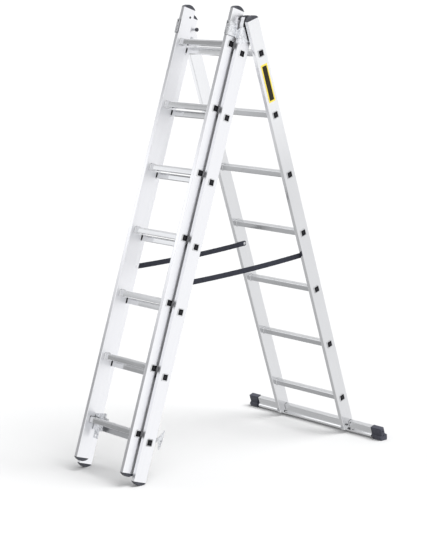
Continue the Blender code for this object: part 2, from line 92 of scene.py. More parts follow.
# ---------------------------------------------------------------- materials
class Nodes:
    """Small helper round a material's node tree."""

    def __init__(self, name):
        self.mat = bpy.data.materials.new(name)
        self.mat.use_nodes = True
        self.tree = self.mat.node_tree
        self.shader = self.tree.nodes["Principled BSDF"]

    def new(self, kind, **settings):
        node = self.tree.nodes.new(kind)
        for key, value in settings.items():
            if key in node.inputs:
                node.inputs[key].default_value = value
            else:
                setattr(node, key, value)
        return node

    def link(self, a, b):
        self.tree.links.new(a, b)

    def place(self, scale, lean=0.0):
        """Object coordinates turned by the section's lean, then scaled."""
        coords = self.new("ShaderNodeTexCoord")
        turn = self.new("ShaderNodeMapping")
        turn.inputs["Rotation"].default_value = (lean, 0.0, 0.0)
        stretch = self.new("ShaderNodeMapping")
        stretch.inputs["Scale"].default_value = scale
        self.link(coords.outputs["Object"], turn.inputs["Vector"])
        self.link(turn.outputs["Vector"], stretch.inputs["Vector"])
        return stretch.outputs["Vector"]

    def noise(self, vector, scale, detail=3.0, roughness=0.55):
        node = self.new("ShaderNodeTexNoise")
        node.inputs["Scale"].default_value = scale
        node.inputs["Detail"].default_value = detail
        node.inputs["Roughness"].default_value = roughness
        self.link(vector, node.inputs["Vector"])
        return node.outputs["Fac"]

    def ramp(self, fac, stops):
        node = self.new("ShaderNodeValToRGB")
        ramp = node.color_ramp
        while len(ramp.elements) < len(stops):
            ramp.elements.new(0.5)
        for element, (at, colour) in zip(ramp.elements, stops):
            element.position = at
            element.color = (*colour, 1.0)
        self.link(fac, node.inputs["Fac"])
        return node.outputs["Color"]

    def span(self, fac, low, high, start=0.3, stop=0.7):
        node = self.new("ShaderNodeMapRange")
        node.inputs["From Min"].default_value = start
        node.inputs["From Max"].default_value = stop
        node.inputs["To Min"].default_value = low
        node.inputs["To Max"].default_value = high
        self.link(fac, node.inputs["Value"])
        return node.outputs["Result"]

    def mix(self, a, b, share):
        """Average of two factors."""
        node = self.new("ShaderNodeMix", data_type="FLOAT")
        node.inputs["Factor"].default_value = share
        self.link(a, node.inputs["A"])
        self.link(b, node.inputs["B"])
        return node.outputs["Result"]

    def shaded(self, colour, reach, floor):
        """Painted shade: a colour that goes dark in crevices narrower than the reach."""
        near = self.new("ShaderNodeAmbientOcclusion")
        near.samples = 8
        near.inputs["Distance"].default_value = reach
        depth = self.new("ShaderNodeMapRange")
        depth.inputs["From Min"].default_value = 0.12
        depth.inputs["From Max"].default_value = 0.72
        depth.inputs["To Min"].default_value = floor
        depth.inputs["To Max"].default_value = 1.0
        self.link(near.outputs["AO"], depth.inputs["Value"])
        node = self.new("ShaderNodeVectorMath", operation="SCALE")
        self.link(colour, node.inputs["Vector"])
        self.link(depth.outputs["Result"], node.inputs["Scale"])
        return node.outputs["Vector"]

    def bump(self, height, strength, distance):
        node = self.new("ShaderNodeBump")
        node.inputs["Strength"].default_value = strength
        node.inputs["Distance"].default_value = distance
        self.link(height, node.inputs["Height"])
        self.link(node.outputs["Normal"], self.shader.inputs["Normal"])

    def out(self, socket, value):
        self.link(value, self.shader.inputs[socket])


def extruded(name, scale, lean, dark, light, rough, painted_light_lift=None):
    """Mill-finish extrusion: long die lines and soft patches, with painted shade in its crevices; given a height span
    and a gain, it brightens its upper end as painted light.
    """
    m = Nodes(name)
    m.shader.inputs["Metallic"].default_value = 1.0
    lines = m.noise(m.place(scale, lean), 1.0, 4.0)
    patches = m.noise(m.place((1.0, 1.0, 1.0), lean), 5.0, 5.0, 0.6)
    grain = m.noise(m.place((1.0, 1.0, 1.0), lean), 420.0, 2.0)
    tone = m.mix(lines, patches, 0.42)
    colour = m.ramp(tone, [(0.30, dark), (0.70, light)])
    # painted light: the colour is brightened over a span of height
    if painted_light_lift:
        height = m.new("ShaderNodeSeparateXYZ")
        m.link(m.place((1.0, 1.0, 1.0)), height.inputs["Vector"])
        lift = m.new("ShaderNodeVectorMath", operation="SCALE")
        m.link(colour, lift.inputs["Vector"])
        m.link(m.span(height.outputs["Z"], 1.0, painted_light_lift[2], painted_light_lift[0], painted_light_lift[1]), lift.inputs["Scale"])
        colour = lift.outputs["Vector"]
    # painted shade: the colour darkens in crevices
    m.out("Base Color", m.shaded(colour, 0.013, 0.09))
    worn = m.mix(patches, grain, 0.35)
    m.out("Roughness", m.span(worn, rough[0], rough[1]))
    m.bump(lines, 0.10, 0.0002)
    return m.mat


def galvanised(name, tint, depth=0.70):
    """Zinc spangle: angular crystals of slightly different brightness, with painted shade in its crevices."""
    m = Nodes(name)
    m.shader.inputs["Metallic"].default_value = 1.0
    where = m.place((1.0, 1.0, 1.0))
    cells = m.new("ShaderNodeTexVoronoi")
    cells.inputs["Scale"].default_value = 190.0
    m.link(where, cells.inputs["Vector"])
    split = m.new("ShaderNodeSeparateColor")
    m.link(cells.outputs["Color"], split.inputs["Color"])
    cloud = m.noise(where, 55.0, 4.0, 0.6)
    tone = m.mix(split.outputs["Red"], cloud, 0.45)
    low = tuple(c * depth for c in tint)
    high = tuple(min(1.0, c * 1.10) for c in tint)
    # painted shade: the spangle darkens in crevices
    m.out("Base Color", m.shaded(m.ramp(tone, [(0.18, low), (0.52, tint), (0.82, high)]), 0.006, 0.15))
    m.out("Roughness", m.span(tone, 0.16, 0.32, 0.2, 0.8))
    m.bump(cloud, 0.18, 0.0004)
    return m.mat


def zinc(name):
    """Bright plated fasteners with turning marks and a little tarnish."""
    m = Nodes(name)
    m.shader.inputs["Metallic"].default_value = 1.0
    cloud = m.noise(m.place((1.0, 1.0, 1.0)), 260.0, 4.0, 0.6)
    m.out("Base Color", m.ramp(cloud, [(0.30, (0.42, 0.43, 0.45)), (0.55, (0.62, 0.63, 0.65)), (0.75, (0.72, 0.73, 0.75))]))
    m.out("Roughness", m.span(cloud, 0.24, 0.40))
    m.bump(cloud, 0.10, 0.0002)
    return m.mat


def moulded(name, dark, light, rough, grain=900.0, gloss=0.45):
    """Moulded plastic with spark-eroded grain and faint scuffs."""
    m = Nodes(name)
    m.shader.inputs["Specular IOR Level"].default_value = gloss
    where = m.place((1.0, 1.0, 1.0))
    fine = m.noise(where, grain, 2.0)
    scuff = m.noise(where, 60.0, 5.0, 0.65)
    m.out("Base Color", m.ramp(scuff, [(0.35, dark), (0.68, light)]))
    m.out("Roughness", m.span(m.mix(fine, scuff, 0.5), rough[0], rough[1]))
    m.bump(fine, 0.22, 0.0003)
    return m.mat


def webbing_material(name, lean_axis):
    """Woven polyester webbing: yarns across the band, ribs along it, matt with a slight sheen."""
    m = Nodes(name)
    m.shader.inputs["Sheen Weight"].default_value = 0.15
    m.shader.inputs["Sheen Roughness"].default_value = 0.45
    m.shader.inputs["Specular IOR Level"].default_value = 0.25
    where = m.place((1.0, 1.0, 1.0), lean_axis)
    weft = m.new("ShaderNodeTexWave", wave_type="BANDS", bands_direction="Y")
    weft.inputs["Scale"].default_value = 170.0
    weft.inputs["Distortion"].default_value = 0.6
    weft.inputs["Detail"].default_value = 1.0
    m.link(where, weft.inputs["Vector"])
    warp = m.new("ShaderNodeTexWave", wave_type="BANDS", bands_direction="Z")
    warp.inputs["Scale"].default_value = 130.0
    warp.inputs["Distortion"].default_value = 0.5
    warp.inputs["Detail"].default_value = 1.0
    m.link(where, warp.inputs["Vector"])
    weave = m.mix(weft.outputs["Fac"], warp.outputs["Fac"], 0.5)
    dust = m.noise(where, 40.0, 5.0, 0.6)
    tone = m.mix(weave, dust, 0.4)
    m.out("Base Color", m.ramp(tone, [(0.25, (0.008, 0.009, 0.014)), (0.75, (0.032, 0.035, 0.052))]))
    m.out("Roughness", m.span(tone, 0.70, 0.92))
    m.bump(weave, 0.45, 0.0004)
    return m.mat


def sticker_material(name, dark, light, gloss=0.5):
    m = Nodes(name)
    m.shader.inputs["Specular IOR Level"].default_value = gloss
    where = m.place((1.0, 1.0, 1.0), -LEAN)
    cloud = m.noise(where, 90.0, 4.0, 0.6)
    peel = m.noise(where, 700.0, 2.0)
    m.out("Base Color", m.ramp(cloud, [(0.3, dark), (0.7, light)]))
    m.out("Roughness", m.span(cloud, 0.34, 0.48))
    m.bump(peel, 0.08, 0.0002)
    return m.mat


ALU_LEG = extruded("aluminium_rail_front", (420.0, 420.0, 3.0), LEAN, (0.815, 0.818, 0.838), (0.868, 0.868, 0.887), (0.11, 0.18))
ALU_MID = extruded("aluminium_rail_middle", (420.0, 420.0, 3.0), LEAN, (0.875, 0.878, 0.900), (0.930, 0.930, 0.950), (0.32, 0.42))
# painted light: a brighter copy of the rail aluminium for side faces that face the light
ALU_LIT_FLANK = extruded("aluminium_rail_flank_painted_light", (420.0, 420.0, 3.0), LEAN, (0.935, 0.938, 0.958), (0.980, 0.980, 0.998), (0.32, 0.42))
# painted shade and light: a darker copy of the rail aluminium for the rear section, brightened over its upper rails
ALU_REAR = extruded("aluminium_rail_rear", (420.0, 420.0, 3.0), -LEAN, (0.675, 0.678, 0.688), (0.730, 0.733, 0.743), (0.14, 0.22), (1.26, 1.56, 1.22))
ALU_RUNG_LEG = extruded("aluminium_rung_leg", (3.0, 500.0, 500.0), LEAN, (0.63, 0.635, 0.645), (0.73, 0.735, 0.745), (0.10, 0.16))
ALU_RUNG_REAR = extruded("aluminium_rung_rear", (3.0, 500.0, 500.0), -LEAN, (0.52, 0.525, 0.535), (0.61, 0.615, 0.625), (0.24, 0.32))
# painted shade and light: a darker, rougher rung copy for the lowest middle rung and a brighter one for the top middle
# rung
ALU_RUNG_SHADED = extruded("aluminium_rung_painted_shade", (3.0, 500.0, 500.0), LEAN, (0.46, 0.465, 0.475), (0.54, 0.545, 0.555), (0.34, 0.44))
ALU_RUNG_LIT = extruded("aluminium_rung_painted_light", (3.0, 500.0, 500.0), LEAN, (0.86, 0.865, 0.875), (0.94, 0.945, 0.955), (0.16, 0.24))
# painted light: a brighter copy of the rung aluminium for the rear rungs' treads
ALU_TREAD_LIT = extruded("aluminium_tread_painted_light", (3.0, 500.0, 500.0), -LEAN, (0.70, 0.705, 0.715), (0.78, 0.785, 0.795), (0.16, 0.24))
ALU_BAR = extruded("aluminium_bar", (3.0, 500.0, 500.0), -LEAN, (0.67, 0.675, 0.685), (0.75, 0.755, 0.765), (0.18, 0.28))
# painted shade: near-black aluminium for the inside of the rails and rungs, which sees little light
ALU_BORE_SHADE = extruded("aluminium_bore_painted_shade", (40.0, 40.0, 3.0), LEAN, (0.020, 0.020, 0.022), (0.050, 0.050, 0.055), (0.50, 0.70))
GALVANISED = galvanised("galvanised_steel", (0.85, 0.86, 0.885))
# painted shade: a darker copy of the galvanised steel for the bracket lips
GALVANISED_LIP_SHADE = galvanised("galvanised_steel_painted_shade", (0.60, 0.605, 0.62))
GALVANISED_PLATE = galvanised("galvanised_steel_plate", (0.72, 0.73, 0.75), 0.48)
ZINC = zinc("zinc_fasteners")
PLASTIC = moulded("end_cap_plastic", (0.030, 0.031, 0.040), (0.062, 0.064, 0.078), (0.42, 0.58))
PLUG = moulded("rung_plug_plastic", (0.002, 0.002, 0.003), (0.006, 0.006, 0.008), (0.46, 0.62), 900.0, 0.10)
# painted light: a lighter copy of the plug plastic for the boss at the plug's end
PLUG_LIT_BOSS = moulded("rung_plug_boss_painted_light", (0.006, 0.006, 0.008), (0.018, 0.018, 0.021), (0.40, 0.55), 900.0, 0.16)
BAR_PLASTIC = moulded("stabiliser_cap_plastic", (0.022, 0.023, 0.036), (0.045, 0.047, 0.066), (0.38, 0.54))
WEBBING = webbing_material("webbing", 0.0)
STICKER = sticker_material("sticker_yellow", (0.72, 0.56, 0.05), (0.84, 0.68, 0.10))
STICKER_INK = sticker_material("sticker_field", (0.014, 0.012, 0.006), (0.030, 0.026, 0.014), 0.16)


# ---------------------------------------------------------------- mesh helpers
def loft(bm, rings, closed_ends=True):
    """Skins a list of equal rings of points; the ends are filled."""
    made = [[bm.verts.new(p) for p in ring] for ring in rings]
    count = len(rings[0])
    for first, second in zip(made, made[1:]):
        for i in range(count):
            j = (i + 1) % count
            bm.faces.new((first[i], first[j], second[j], second[i]))
    if closed_ends:
        bm.faces.new(list(reversed(made[0])))
        bm.faces.new(made[-1])
    return made


def tube(bm, outer, inner):
    """A tube from outer rings and inner rings, joined at both ends."""
    a = loft(bm, outer, False)
    b = loft(bm, inner, False)
    na, nb = len(a[0]), len(b[0])
    for first, second in ((a[0], b[0]), (a[-1], b[-1])):
        if na == nb:
            for i in range(na):
                j = (i + 1) % na
                bm.faces.new((first[i], first[j], second[j], second[i]))
        else:
            edges = []
            for ring in (first, second):
                for i in range(len(ring)):
                    edges.append(bm.edges.get((ring[i], ring[(i + 1) % len(ring)])))
            bmesh.ops.bridge_loops(bm, edges=edges)


def rounded_rect(hx, hy, r, steps=4, cx=0.0, cy=0.0):
    points = []
    for sx, sy, start in ((1, 1, 0), (-1, 1, 90), (-1, -1, 180), (1, -1, 270)):
        for i in range(steps + 1):
            a = math.radians(start + 90.0 * i / steps)
            points.append((cx + sx * (hx - r) + r * math.cos(a), cy + sy * (hy - r) + r * math.sin(a)))
    return points


def disc(radius, sides, centre=(0.0, 0.0), turn=0.0):
    return [
        (centre[0] + radius * math.cos(2 * math.pi * (i + turn) / sides),
         centre[1] + radius * math.sin(2 * math.pi * (i + turn) / sides))
        for i in range(sides)
    ]


def along(axis, at, points):
    """Points of a flat outline set across an axis at a station."""
    if axis == "x":
        return [(at, a, b) for a, b in points]
    if axis == "y":
        return [(a, at, b) for a, b in points]
    return [(a, b, at) for a, b in points]


def prism(bm, points, axis, low, high):
    loft(bm, [along(axis, low, points), along(axis, high, points)])


def turned(bm, axis, centre, steps, sides=24):
    """A turned part: steps are (station, radius) from one end to the other."""
    rings = [along(axis, at, disc(radius, sides, centre)) for at, radius in steps]
    loft(bm, rings)


def fillet(points, radii, steps=4):
    """An open path with its inner corners rounded."""
    out = [Vector(points[0])]
    for i in range(1, len(points) - 1):
        p, a, b = Vector(points[i]), Vector(points[i - 1]), Vector(points[i + 1])
        r = radii[i - 1]
        u, v = (a - p).normalized(), (b - p).normalized()
        half = math.acos(max(-1.0, min(1.0, u.dot(v)))) / 2
        reach = r / math.tan(half)
        start, stop = p + u * reach, p + v * reach
        middle = (u + v).normalized() * (r / math.sin(half)) + p
        first, last = start - middle, stop - middle
        total = first.angle_signed(last)
        for k in range(steps + 1):
            turn = -total * k / steps
            out.append(middle + Matrix.Rotation(turn, 2) @ first)
    out.append(Vector(points[-1]))
    return out


def strip(path, thickness):
    """Outline of a bent strip whose inner skin is the path."""
    normals = []
    for a, b in zip(path, path[1:]):
        d = (b - a).normalized()
        normals.append(Vector((-d.y, d.x)))
    outer = []
    for i, p in enumerate(path):
        if i == 0:
            n = normals[0]
        elif i == len(path) - 1:
            n = normals[-1]
        else:
            n = normals[i - 1] + normals[i]
            n = n * (2 / n.length_squared)
        outer.append(p + n * thickness)
    return [tuple(p) for p in path] + [tuple(p) for p in reversed(outer)]


def smooth_closed(points, steps=5):
    """Closed Catmull-Rom curve through the points."""
    out = []
    n = len(points)
    for i in range(n):
        p0, p1, p2, p3 = (Vector(points[(i + k - 1) % n]) for k in range(4))
        for k in range(steps):
            t = k / steps
            out.append(tuple(
                0.5 * (2 * p1 + (p2 - p0) * t + (2 * p0 - 5 * p1 + 4 * p2 - p3) * t * t
                       + (3 * p1 - p0 - 3 * p2 + p3) * t ** 3)
            ))
    return out


def soften(bm, width, segments=2, angle=35.0):
    """Rounds every edge sharper than the angle."""
    bmesh.ops.remove_doubles(bm, verts=bm.verts, dist=1e-6)
    bmesh.ops.recalc_face_normals(bm, faces=bm.faces)
    edges = [e for e in bm.edges if len(e.link_faces) == 2 and e.calc_face_angle(0.0) > math.radians(angle)]
    bmesh.ops.bevel(bm, geom=edges, offset=width, segments=segments, profile=0.5, affect="EDGES", clamp_overlap=True)


def mesh_of(bm, name):
    bmesh.ops.remove_doubles(bm, verts=bm.verts, dist=1e-6)
    bmesh.ops.recalc_face_normals(bm, faces=bm.faces)
    mesh = bpy.data.meshes.new(name)
    bm.to_mesh(mesh)
    bm.free()
    return mesh


def scratch(bm, name):
    obj = bpy.data.objects.new(name, mesh_of(bm, name))
    bpy.context.scene.collection.objects.link(obj)
    return obj


def combine(base, tool, operation):
    """Boolean of two meshes, given as bmeshes; returns the result as a bmesh."""
    a, b = scratch(base, "work_a"), scratch(tool, "work_b")
    modifier = a.modifiers.new("cut", "BOOLEAN")
    modifier.operation, modifier.solver, modifier.object = operation, "EXACT", b
    graph = bpy.context.evaluated_depsgraph_get()
    mesh = bpy.data.meshes.new_from_object(a.evaluated_get(graph))
    out = bmesh.new()
    out.from_mesh(mesh)
    for obj in (a, b):
        data = obj.data
        bpy.data.objects.remove(obj, do_unlink=True)
        bpy.data.meshes.remove(data)
    bpy.data.meshes.remove(mesh)
    return out


def piece(name, bm, place, mat, body, nodes=(), sharp=40.0, floor=False):
    """Sets a mesh in the frame, shades it, and lets it ride on its body."""
    bm.transform(place)
    if floor:
        cut = bmesh.ops.bisect_plane(
            bm, geom=bm.verts[:] + bm.edges[:] + bm.faces[:], dist=1e-7,
            plane_co=(0.0, 0.0, 0.0), plane_no=(0.0, 0.0, 1.0), clear_inner=True,
        )
        rim = [e for e in cut["geom_cut"] if isinstance(e, bmesh.types.BMEdge)]
        if rim:
            bmesh.ops.edgeloop_fill(bm, edges=rim)
    mesh = mesh_of(bm, name)
    mesh.shade_smooth()
    mesh.set_sharp_from_angle(angle=math.radians(sharp))
    mesh.materials.append(mat)
    obj = bpy.data.objects.new(name, mesh)
    bpy.context.scene.collection.objects.link(obj)
    weighted = obj.modifiers.new("weighted", "WEIGHTED_NORMAL")
    weighted.keep_sharp = True
    weighted.weight = 80
    if body:
        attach(obj, body)
    if nodes:
        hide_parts(*nodes)
    return obj


def x_hole(bm, radius, y, z, low, high, sides=24):
    prism(bm, disc(radius, sides, (y, z)), "x", low, high)


def box(bm, low, high):
    prism(bm, [(low[0], low[1]), (high[0], low[1]), (high[0], high[1]), (low[0], high[1])], "z", low[2], high[2])


# ---------------------------------------------------------------- rails
def slot_outline(centre, length, radius, tilt, steps=8):
    points = []
    for start, shift in ((90, -length / 2), (-90, length / 2)):
        for i in range(steps + 1):
            a = math.radians(start + 180.0 * i / steps)
            u, w = shift + radius * math.cos(a), radius * math.sin(a)
            points.append((centre[0] + u * math.cos(tilt) - w * math.sin(tilt),
                           centre[1] + u * math.sin(tilt) + w * math.cos(tilt)))
    return points


def rail(section, label, side):
    place, body, width, bottom = SECTIONS[section]
    centre = side * (width / 2 - RAIL_T / 2)
    hx, hy = RAIL_T / 2, RAIL_D / 2
    bm = bmesh.new()
    outer = rounded_rect(hx, hy, 0.0026, 4, centre)
    inner = rounded_rect(hx - RAIL_WALL, hy - RAIL_WALL, 0.0012, 4, centre)
    tube(bm, [along("z", z, outer) for z in (bottom, RAIL_TOP)], [along("z", z, inner) for z in (bottom, RAIL_TOP)])
    cutter = bmesh.new()
    for i in range(RUNGS):
        hole = rounded_rect(RUNG_HALF + GAP, RUNG_HALF + GAP, 0.0020, 3, 0.0, i * PITCH)
        prism(cutter, hole, "x", centre - 0.02, centre + 0.02)
    inside = sorted((centre, centre - side * 0.02))
    outside = sorted((centre, centre + side * 0.02))
    if section == "front":
        x_hole(cutter, 0.0050, 0.012, 1.793, centre - 0.02, centre + 0.02)
    elif section == "middle":
        x_hole(cutter, PIN_R + GAP, HINGE_IN, HINGE_Z, centre - 0.02, centre + 0.02)
        x_hole(cutter, 0.004 + GAP, BOLT_Y, BOLT_Z, centre - 0.02, centre + 0.02)
        x_hole(cutter, 0.003 + GAP, STRAP_Y_MID, STRAP_Z_MID[side], inside[0], inside[1])
        z = STRAP_Z_MID[side] + (RAIL_D / 2 - RAIL_WALL / 2 - STRAP_Y_MID) * 0.353
        low, high = sorted((side * 0.1746, side * 0.1784))
        prism(cutter, rounded_rect((high - low) / 2, 0.0145, 0.0018, 3, (low + high) / 2, z), "y", RAIL_D / 2 - RAIL_WALL - 0.001, RAIL_D / 2 + 0.01)
    else:
        x_hole(cutter, PIN_R + 2 * GAP, -HINGE_IN, HINGE_Z, inside[0], inside[1])
        x_hole(cutter, 0.003 + GAP, STRAP_Y_REAR, STRAP_Z_REAR, inside[0], inside[1])
        front = BAR_Y - BAR_HALF_TOP - GAP
        notch = [(front, REAR_BOTTOM - 0.03), (0.06, REAR_BOTTOM - 0.03), (0.06, BAR_TOP + GAP), (front + 0.003, BAR_TOP + GAP),
                 (front + 0.0009, BAR_TOP + GAP - 0.0009), (front, BAR_TOP + GAP - 0.003)]
        prism(cutter, notch, "x", centre - 0.03, centre + 0.03)
        prism(cutter, slot_outline((-0.012, -0.139), 0.014, 0.0042, math.radians(-32)), "x", outside[0], outside[1])
        prism(cutter, disc(0.0035 + GAP, 20, (centre, BAR_BOLT_Z)), "y", -0.05, -0.02)
    bm = combine(bm, cutter, "DIFFERENCE")
    bm.normal_update()
    for face in bm.faces:                                             # painted shade: the bore sees little light, so its faces get near-black aluminium
        at = face.calc_center_median()
        bore = abs(at.x - centre) < hx - RAIL_WALL + 0.0001 and abs(at.y) < hy - RAIL_WALL + 0.0001
        face.material_index = 1 if bore else 2 if abs(face.normal.x) > 0.75 else 0
    mat = {"front": ALU_LEG, "middle": ALU_MID, "rear": ALU_REAR}[section]
    # painted light: the side faces get brighter copies of the aluminium, brightest on the front section's right rail
    flank = {"front": ALU_MID if side < 0 else ALU_LIT_FLANK, "middle": ALU_MID, "rear": ALU_REAR}[section]
    obj = piece(f"{section}_rail_{label}_extrusion", bm, place, mat, body, [f"{section}_rail_{label}"], 35.0)
    obj.data.materials.append(ALU_BORE_SHADE)
    obj.data.materials.append(flank)


for section in SECTIONS:
    for label, side in SIDES:
        rail(section, label, side)


# ---------------------------------------------------------------- rungs
def rung_outline(climber, heel=0.0050):
    """Square tube: a rounded nose on the climber's side of its grooved tread, and opposite it below."""
    h = RUNG_HALF
    points = []

    def corner(sx, sz, r, start, steps):
        for i in range(steps + 1):
            a = math.radians(start + 90.0 * i / steps)
            points.append((sx * (h - r) + r * math.cos(a), sz * (h - r) + r * math.sin(a)))

    nose, tight = 0.0082, 0.0018
    corner(1, 1, nose, 0.0, 10)
    for k in range(4):                                   # tread grooves
        y = 0.0042 - 0.0040 * k
        points += [(y + 0.0011, h), (y + 0.0006, h - 0.0008), (y - 0.0006, h - 0.0008), (y - 0.0011, h)]
    corner(-1, 1, tight, 90.0, 4)
    corner(-1, -1, heel, 180.0, 6)
    corner(1, -1, tight, 270.0, 4)
    return points if climber > 0 else [(-a, b) for a, b in reversed(points)]


BODY = -0.0013                        # the tube between its collars is a little slimmer than its seats
RUNG_LINE = {"front": rung_outline(-1), "middle": rung_outline(-1), "rear": rung_outline(1)}
BRACKET_LINE = rung_outline(-1, 0.0018)                   # the front section's bottom rung


def rung(section, index):
    place, body, width, _ = SECTIONS[section]
    z = index * PITCH
    line = BRACKET_LINE if section == "front" and index == 0 else RUNG_LINE[section]
    end, wall, inside = width / 2 + 0.0015, width / 2 + GAP, width / 2 - RAIL_T - GAP

    def ring(x, grow):
        share = 1.0 + grow / RUNG_HALF
        return [(x, a * share, z + b * share) for a, b in line]

    half = [(end, 0.0018), (end - 0.0005, 0.0026), (wall, 0.0026), (wall, -0.0001)]
    if section == "front" and index == 0:
        half += [(inside, -0.0001), (inside - 0.0040, BODY)]
    else:
        half += [(inside, -0.0001), (inside, 0.0019), (inside - 0.0016, 0.0016), (inside - 0.0040, BODY)]
    stations = [(-x, g) for x, g in half] + [(x, g) for x, g in reversed(half)]
    outer = [ring(x, g) for x, g in stations]
    core = []
    for a, b in line:                                     # the bore, point by point under the outline
        share = RUNG_BORE / (abs(a) ** 14 + abs(b) ** 14) ** (1 / 14)
        core.append((a * share, z + b * share))
    bm = bmesh.new()
    tube(bm, outer, [along("x", x, core) for x in (-end, end)])
    mat = ALU_RUNG_REAR if section == "rear" else ALU_RUNG_LEG
    if section == "middle":
        # painted shade and light: the bottom rung gets a darker copy of the aluminium, the top rung a brighter one
        mat = {0: ALU_RUNG_SHADED, RUNGS - 1: ALU_RUNG_LIT}.get(index, mat)
    for face in bm.faces:                                 # painted light: on the rear rungs the tread and its edge get brighter copies of the aluminium than the sides, a painted highlight
        face.normal_update()
        at = face.calc_center_median()
        if section == "rear" and abs(face.normal.z) > 0.30 and at.z > z + 0.010:
            face.material_index = 2 if at.y < 0.0026 - RUNG_HALF else 1
    obj = piece(f"{section}_rung_{index + 1}_tube", bm, place, mat, body, [f"{section}_rung_{index + 1}"], 35.0)
    if section == "rear":
        obj.data.materials.append(ALU_TREAD_LIT)
        obj.data.materials.append(ALU_LIT_FLANK)


def rung_plugs(section, label, side):
    """Moulded plugs pressed into the rung ends: a rim, a shallow dish and a round boss."""
    place, body, width, _ = SECTIONS[section]
    end = width / 2 + 0.0016
    bm = bmesh.new()
    h = RUNG_BORE - 0.0001
    steps = (
        (0.0200, h, 0.0014), (0.0005, h, 0.0014), (0.0000, h - 0.0006, 0.0016), (0.0000, h - 0.0016, 0.0018),
        (0.0010, h - 0.0024, 0.0022), (0.0011, 0.0082, 0.0078), (0.0003, 0.0070, 0.0067), (0.0001, 0.0050, 0.0048), (0.0001, 0.0020, 0.0019),
    )
    for i in range(RUNGS):
        loft(bm, [along("x", side * (end - depth), rounded_rect(half, half, r, 4, 0.0, i * PITCH)) for depth, half, r in steps])
    # painted light: the end faces inside the rim, mainly the boss, get a lighter copy of the plug plastic
    for face in bm.faces:
        at = face.calc_center_median()
        z = at.z - PITCH * round(at.z / PITCH)
        face.material_index = int(abs(at.x) > end - 0.0006 and math.hypot(at.y, z) < 0.0078)
    obj = piece(f"{section}_rung_plugs_{label}", bm, place, PLUG, body, (), 40.0)
    obj.data.materials.append(PLUG_LIT_BOSS)


for section in SECTIONS:
    for i in range(RUNGS):
        rung(section, i)
    for label, side in SIDES:
        rung_plugs(section, label, side)


# ---------------------------------------------------------------- end caps and feet
def end_cap(section, label, side, at, sag, upwards, node):
    place, body, width, _ = SECTIONS[section]
    centre = side * (width / 2 - RAIL_T / 2)
    sign = 1 if upwards else -1
    half = RAIL_D / 2
    radius = (half * half + sag * sag) / (2 * sag)
    base, rim = at + sign * 0.0001, 0.002
    reach = math.asin(half / radius)
    steps = 40
    outline = [(-half, base), (-half, base + sign * rim * 0.5)]
    for i in range(steps + 1):
        a = -reach + 2 * reach * i / steps
        r = radius
        if not upwards and 3 < i < steps - 3 and i % 4 in (0, 1):
            r -= 0.0009                                     # tread grooves across the sole
        outline.append((r * math.sin(a), base + sign * (rim + r * math.cos(a) - (radius - sag))))
    outline += [(half, base + sign * rim * 0.5), (half, base)]
    if sign < 0:
        outline.reverse()
    # The sides draw in a little towards the crown, as a moulding does.
    rings = []
    for x, inset in ((-1.0, 0.0013), (-0.93, 0.0005), (-0.80, 0.0), (0.80, 0.0), (0.93, 0.0005), (1.0, 0.0013)):
        ring = []
        for y, z in outline:
            rise = abs(z - base)
            ring.append((centre + x * RAIL_T / 2, y * (1 - inset / half), base + sign * max(0.0, rise - (inset if rise > 0.0012 else 0.0))))
        rings.append(ring)
    bm = bmesh.new()
    loft(bm, rings)
    piece(f"{section}_{node}_{label}_moulding", bm, place, PLASTIC, body, [f"{section}_{node}_{label}"], 38.0, floor=not upwards)


for section in SECTIONS:
    for label, side in SIDES:
        end_cap(section, label, side, RAIL_TOP, CAP_SAG, True, "top_cap")
        if section != "rear":
            end_cap(section, label, side, RAIL_BOTTOM, FOOT_SAG, False, "foot")


# ---------------------------------------------------------------- guide brackets, their bolts and the hinge pins
FRONT_OUT, MIDDLE_OUT = W_FRONT / 2 + 0.0042, W_MIDDLE / 2 + 0.0008
LIP_Y, STEP_Y = -SLIDE_GAP - RAIL_D / 2 - 0.0022, -RAIL_D / 2 - 0.0016
GUIDE_PATH = [                        # inner skin of the sheet: x, y, lower edge, upper edge
    (0.1490, LIP_Y, 1.7410, 1.7970), (0.1500, LIP_Y, 1.7390, 1.7990), (0.1525, LIP_Y, 1.738, 1.800),
    (FRONT_OUT - 0.003, LIP_Y, 1.738, 1.800), (FRONT_OUT, LIP_Y + 0.003, 1.739, 1.798),
    (FRONT_OUT, -0.0440, 1.740, 1.794), (FRONT_OUT, -0.0415, 1.740, 1.790), (FRONT_OUT, STEP_Y - 0.004, 1.740, 1.771),
    (FRONT_OUT + 0.004, STEP_Y, 1.7355, 1.773), (MIDDLE_OUT - 0.003, STEP_Y, 1.716, 1.783),
    (MIDDLE_OUT, STEP_Y + 0.003, 1.711, 1.786), (MIDDLE_OUT, -0.0140, 1.7205, 1.791), (MIDDLE_OUT, 0.0120, 1.7345, 1.796),
    (MIDDLE_OUT, 0.0160, 1.7310, 1.797), (MIDDLE_OUT, 0.0295, 1.7310, 1.7995), (MIDDLE_OUT, 0.0330, 1.7345, 1.7960),
]


def mirrored(points, side):
    return points if side > 0 else [(-a, b) for a, b in reversed(points)]


def eased(path, share):
    """The path with its corners cut, for soft bends and rounded edges."""
    out = [path[0]]
    for p, q in zip(path, path[1:]):
        for t in (share, 1.0 - share):
            out.append(tuple(a + (b - a) * t for a, b in zip(p, q)))
    return out + [path[-1]]


def folded_sheet(bm, path, thickness, side):
    """A folded sheet whose height changes along its path."""
    points = [Vector(p[:2]) for p in path]
    normals = []
    for p, q in zip(points, points[1:]):
        d = (q - p).normalized()
        normals.append(Vector((d.y, -d.x)))
    rings = []
    for i, (p, (_, _, low, high)) in enumerate(zip(points, path)):
        n = normals[max(i - 1, 0)] + normals[min(i, len(normals) - 1)]
        q = p + n * (thickness * 2 / n.length_squared)
        rings.append([(side * p.x, p.y, low), (side * p.x, p.y, high), (side * q.x, q.y, high), (side * q.x, q.y, low)])
    loft(bm, rings)


